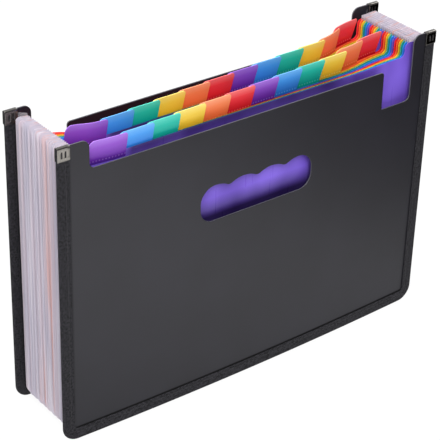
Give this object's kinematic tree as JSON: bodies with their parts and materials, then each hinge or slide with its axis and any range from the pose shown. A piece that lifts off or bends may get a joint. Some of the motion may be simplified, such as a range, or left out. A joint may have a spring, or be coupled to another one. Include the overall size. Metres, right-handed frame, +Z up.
{
  "type": "accordion file folder",
  "caption": "Expanding file folder with bound covers, pleated side film, colour-tabbed dividers in two staggered rows and a finger-shaped hand hole.",
  "frame": {"origin": "on the table, under the middle of the folder as it stands part open", "axes": "+X along the width to the right of the front cover, +Y from the front cover to the back cover, along which the pockets open, +Z up"},
  "size_m": [0.33, 0.0668, 0.2344],
  "materials": {
    "cover": "fine sand-grained black polypropylene",
    "binding": "black woven tape, sewn along its inner edge",
    "clip": "nickel-plated steel strip",
    "gusset": "frosted clear polypropylene film",
    "divider_purple": "coloured polypropylene sheet",
    "divider_blue": "coloured polypropylene sheet",
    "divider_teal": "coloured polypropylene sheet",
    "divider_yellow": "coloured polypropylene sheet",
    "divider_orange": "coloured polypropylene sheet",
    "divider_red": "coloured polypropylene sheet"
  },
  "bodies": {
    "front": {"front_cover": "cover", "front_binding": "binding", "front_left_clip": "clip", "front_right_clip": "clip", "gusset_front_leaf": "gusset"},
    "divider_01": {"divider_01": "divider_purple", "gusset_pleat_01": "gusset"},
    "divider_02": {"divider_02": "divider_blue", "gusset_pleat_02": "gusset"},
    "divider_03": {"divider_03": "divider_teal", "gusset_pleat_03": "gusset"},
    "divider_04": {"divider_04": "divider_yellow", "gusset_pleat_04": "gusset"},
    "divider_05": {"divider_05": "divider_orange", "gusset_pleat_05": "gusset"},
    "divider_06": {"divider_06": "divider_red", "gusset_pleat_06": "gusset"},
    "divider_07": {"divider_07": "divider_purple", "gusset_pleat_07": "gusset"},
    "divider_08": {"divider_08": "divider_blue", "gusset_pleat_08": "gusset"},
    "divider_09": {"divider_09": "divider_teal", "gusset_pleat_09": "gusset"},
    "divider_10": {"divider_10": "divider_yellow", "gusset_pleat_10": "gusset"},
    "divider_11": {"divider_11": "divider_orange", "gusset_pleat_11": "gusset"},
    "divider_12": {"divider_12": "divider_red", "gusset_pleat_12": "gusset"},
    "divider_13": {"divider_13": "divider_purple", "gusset_pleat_13": "gusset"},
    "divider_14": {"divider_14": "divider_blue", "gusset_pleat_14": "gusset"},
    "divider_15": {"divider_15": "divider_teal", "gusset_pleat_15": "gusset"},
    "divider_16": {"divider_16": "divider_yellow", "gusset_pleat_16": "gusset"},
    "divider_17": {"divider_17": "divider_orange", "gusset_pleat_17": "gusset"},
    "divider_18": {"divider_18": "divider_red", "gusset_pleat_18": "gusset"},
    "divider_19": {"divider_19": "divider_purple", "gusset_pleat_19": "gusset"},
    "divider_20": {"divider_20": "divider_blue", "gusset_pleat_20": "gusset"},
    "divider_21": {"divider_21": "divider_teal", "gusset_pleat_21": "gusset"},
    "divider_22": {"divider_22": "divider_yellow", "gusset_pleat_22": "gusset"},
    "divider_23": {"divider_23": "divider_orange", "gusset_pleat_23": "gusset"},
    "divider_24": {"divider_24": "divider_red", "gusset_back_leaf": "gusset"},
    "back": {"back_cover": "cover", "back_binding": "binding", "back_left_clip": "clip", "back_right_clip": "clip"}
  },
  "joints": [
    {"name": "pocket_01", "type": "slide", "parent": "front", "child": "divider_01", "axis": [0, 1, 0], "range_m": [-0.0009, 0.0097], "deforming": ["gusset_front_leaf"]},
    {"name": "pocket_02", "type": "slide", "parent": "divider_01", "child": "divider_02", "axis": [0, 1, 0], "range_m": [-0.0009, 0.0097], "deforming": ["gusset_pleat_01"]},
    {"name": "pocket_03", "type": "slide", "parent": "divider_02", "child": "divider_03", "axis": [0, 1, 0], "range_m": [-0.0009, 0.0097], "deforming": ["gusset_pleat_02"]},
    {"name": "pocket_04", "type": "slide", "parent": "divider_03", "child": "divider_04", "axis": [0, 1, 0], "range_m": [-0.0009, 0.0097], "deforming": ["gusset_pleat_03"]},
    {"name": "pocket_05", "type": "slide", "parent": "divider_04", "child": "divider_05", "axis": [0, 1, 0], "range_m": [-0.0009, 0.0097], "deforming": ["gusset_pleat_04"]},
    {"name": "pocket_06", "type": "slide", "parent": "divider_05", "child": "divider_06", "axis": [0, 1, 0], "range_m": [-0.0009, 0.0097], "deforming": ["gusset_pleat_05"]},
    {"name": "pocket_07", "type": "slide", "parent": "divider_06", "child": "divider_07", "axis": [0, 1, 0], "range_m": [-0.0009, 0.0097], "deforming": ["gusset_pleat_06"]},
    {"name": "pocket_08", "type": "slide", "parent": "divider_07", "child": "divider_08", "axis": [0, 1, 0], "range_m": [-0.0009, 0.0097], "deforming": ["gusset_pleat_07"]},
    {"name": "pocket_09", "type": "slide", "parent": "divider_08", "child": "divider_09", "axis": [0, 1, 0], "range_m": [-0.0009, 0.0097], "deforming": ["gusset_pleat_08"]},
    {"name": "pocket_10", "type": "slide", "parent": "divider_09", "child": "divider_10", "axis": [0, 1, 0], "range_m": [-0.0009, 0.0097], "deforming": ["gusset_pleat_09"]},
    {"name": "pocket_11", "type": "slide", "parent": "divider_10", "child": "divider_11", "axis": [0, 1, 0], "range_m": [-0.0009, 0.0097], "deforming": ["gusset_pleat_10"]},
    {"name": "pocket_12", "type": "slide", "parent": "divider_11", "child": "divider_12", "axis": [0, 1, 0], "range_m": [-0.0009, 0.0097], "deforming": ["gusset_pleat_11"]},
    {"name": "pocket_13", "type": "slide", "parent": "divider_12", "child": "divider_13", "axis": [0, 1, 0], "range_m": [-0.0009, 0.0097], "deforming": ["gusset_pleat_12"]},
    {"name": "pocket_14", "type": "slide", "parent": "divider_13", "child": "divider_14", "axis": [0, 1, 0], "range_m": [-0.0009, 0.0097], "deforming": ["gusset_pleat_13"]},
    {"name": "pocket_15", "type": "slide", "parent": "divider_14", "child": "divider_15", "axis": [0, 1, 0], "range_m": [-0.0009, 0.0097], "deforming": ["gusset_pleat_14"]},
    {"name": "pocket_16", "type": "slide", "parent": "divider_15", "child": "divider_16", "axis": [0, 1, 0], "range_m": [-0.0009, 0.0097], "deforming": ["gusset_pleat_15"]},
    {"name": "pocket_17", "type": "slide", "parent": "divider_16", "child": "divider_17", "axis": [0, 1, 0], "range_m": [-0.0009, 0.0097], "deforming": ["gusset_pleat_16"]},
    {"name": "pocket_18", "type": "slide", "parent": "divider_17", "child": "divider_18", "axis": [0, 1, 0], "range_m": [-0.0009, 0.0097], "deforming": ["gusset_pleat_17"]},
    {"name": "pocket_19", "type": "slide", "parent": "divider_18", "child": "divider_19", "axis": [0, 1, 0], "range_m": [-0.0009, 0.0097], "deforming": ["gusset_pleat_18"]},
    {"name": "pocket_20", "type": "slide", "parent": "divider_19", "child": "divider_20", "axis": [0, 1, 0], "range_m": [-0.0009, 0.0097], "deforming": ["gusset_pleat_19"]},
    {"name": "pocket_21", "type": "slide", "parent": "divider_20", "child": "divider_21", "axis": [0, 1, 0], "range_m": [-0.0009, 0.0097], "deforming": ["gusset_pleat_20"]},
    {"name": "pocket_22", "type": "slide", "parent": "divider_21", "child": "divider_22", "axis": [0, 1, 0], "range_m": [-0.0009, 0.0097], "deforming": ["gusset_pleat_21"]},
    {"name": "pocket_23", "type": "slide", "parent": "divider_22", "child": "divider_23", "axis": [0, 1, 0], "range_m": [-0.0009, 0.0097], "deforming": ["gusset_pleat_22"]},
    {"name": "pocket_24", "type": "slide", "parent": "divider_23", "child": "divider_24", "axis": [0, 1, 0], "range_m": [-0.0009, 0.0097], "deforming": ["gusset_pleat_23"]},
    {"name": "pocket_25", "type": "slide", "parent": "divider_24", "child": "back", "axis": [0, 1, 0], "range_m": [-0.0009, 0.0097], "deforming": ["gusset_back_leaf"]}
  ],
  "couplings": [
    {"joint": "pocket_02", "follows": "pocket_01", "ratio": 1},
    {"joint": "pocket_03", "follows": "pocket_01", "ratio": 1},
    {"joint": "pocket_04", "follows": "pocket_01", "ratio": 1},
    {"joint": "pocket_05", "follows": "pocket_01", "ratio": 1},
    {"joint": "pocket_06", "follows": "pocket_01", "ratio": 1},
    {"joint": "pocket_07", "follows": "pocket_01", "ratio": 1},
    {"joint": "pocket_08", "follows": "pocket_01", "ratio": 1},
    {"joint": "pocket_09", "follows": "pocket_01", "ratio": 1},
    {"joint": "pocket_10", "follows": "pocket_01", "ratio": 1},
    {"joint": "pocket_11", "follows": "pocket_01", "ratio": 1},
    {"joint": "pocket_12", "follows": "pocket_01", "ratio": 1},
    {"joint": "pocket_13", "follows": "pocket_01", "ratio": 1},
    {"joint": "pocket_14", "follows": "pocket_01", "ratio": 1},
    {"joint": "pocket_15", "follows": "pocket_01", "ratio": 1},
    {"joint": "pocket_16", "follows": "pocket_01", "ratio": 1},
    {"joint": "pocket_17", "follows": "pocket_01", "ratio": 1},
    {"joint": "pocket_18", "follows": "pocket_01", "ratio": 1},
    {"joint": "pocket_19", "follows": "pocket_01", "ratio": 1},
    {"joint": "pocket_20", "follows": "pocket_01", "ratio": 1},
    {"joint": "pocket_21", "follows": "pocket_01", "ratio": 1},
    {"joint": "pocket_22", "follows": "pocket_01", "ratio": 1},
    {"joint": "pocket_23", "follows": "pocket_01", "ratio": 1},
    {"joint": "pocket_24", "follows": "pocket_01", "ratio": 1},
    {"joint": "pocket_25", "follows": "pocket_01", "ratio": 1}
  ]
}
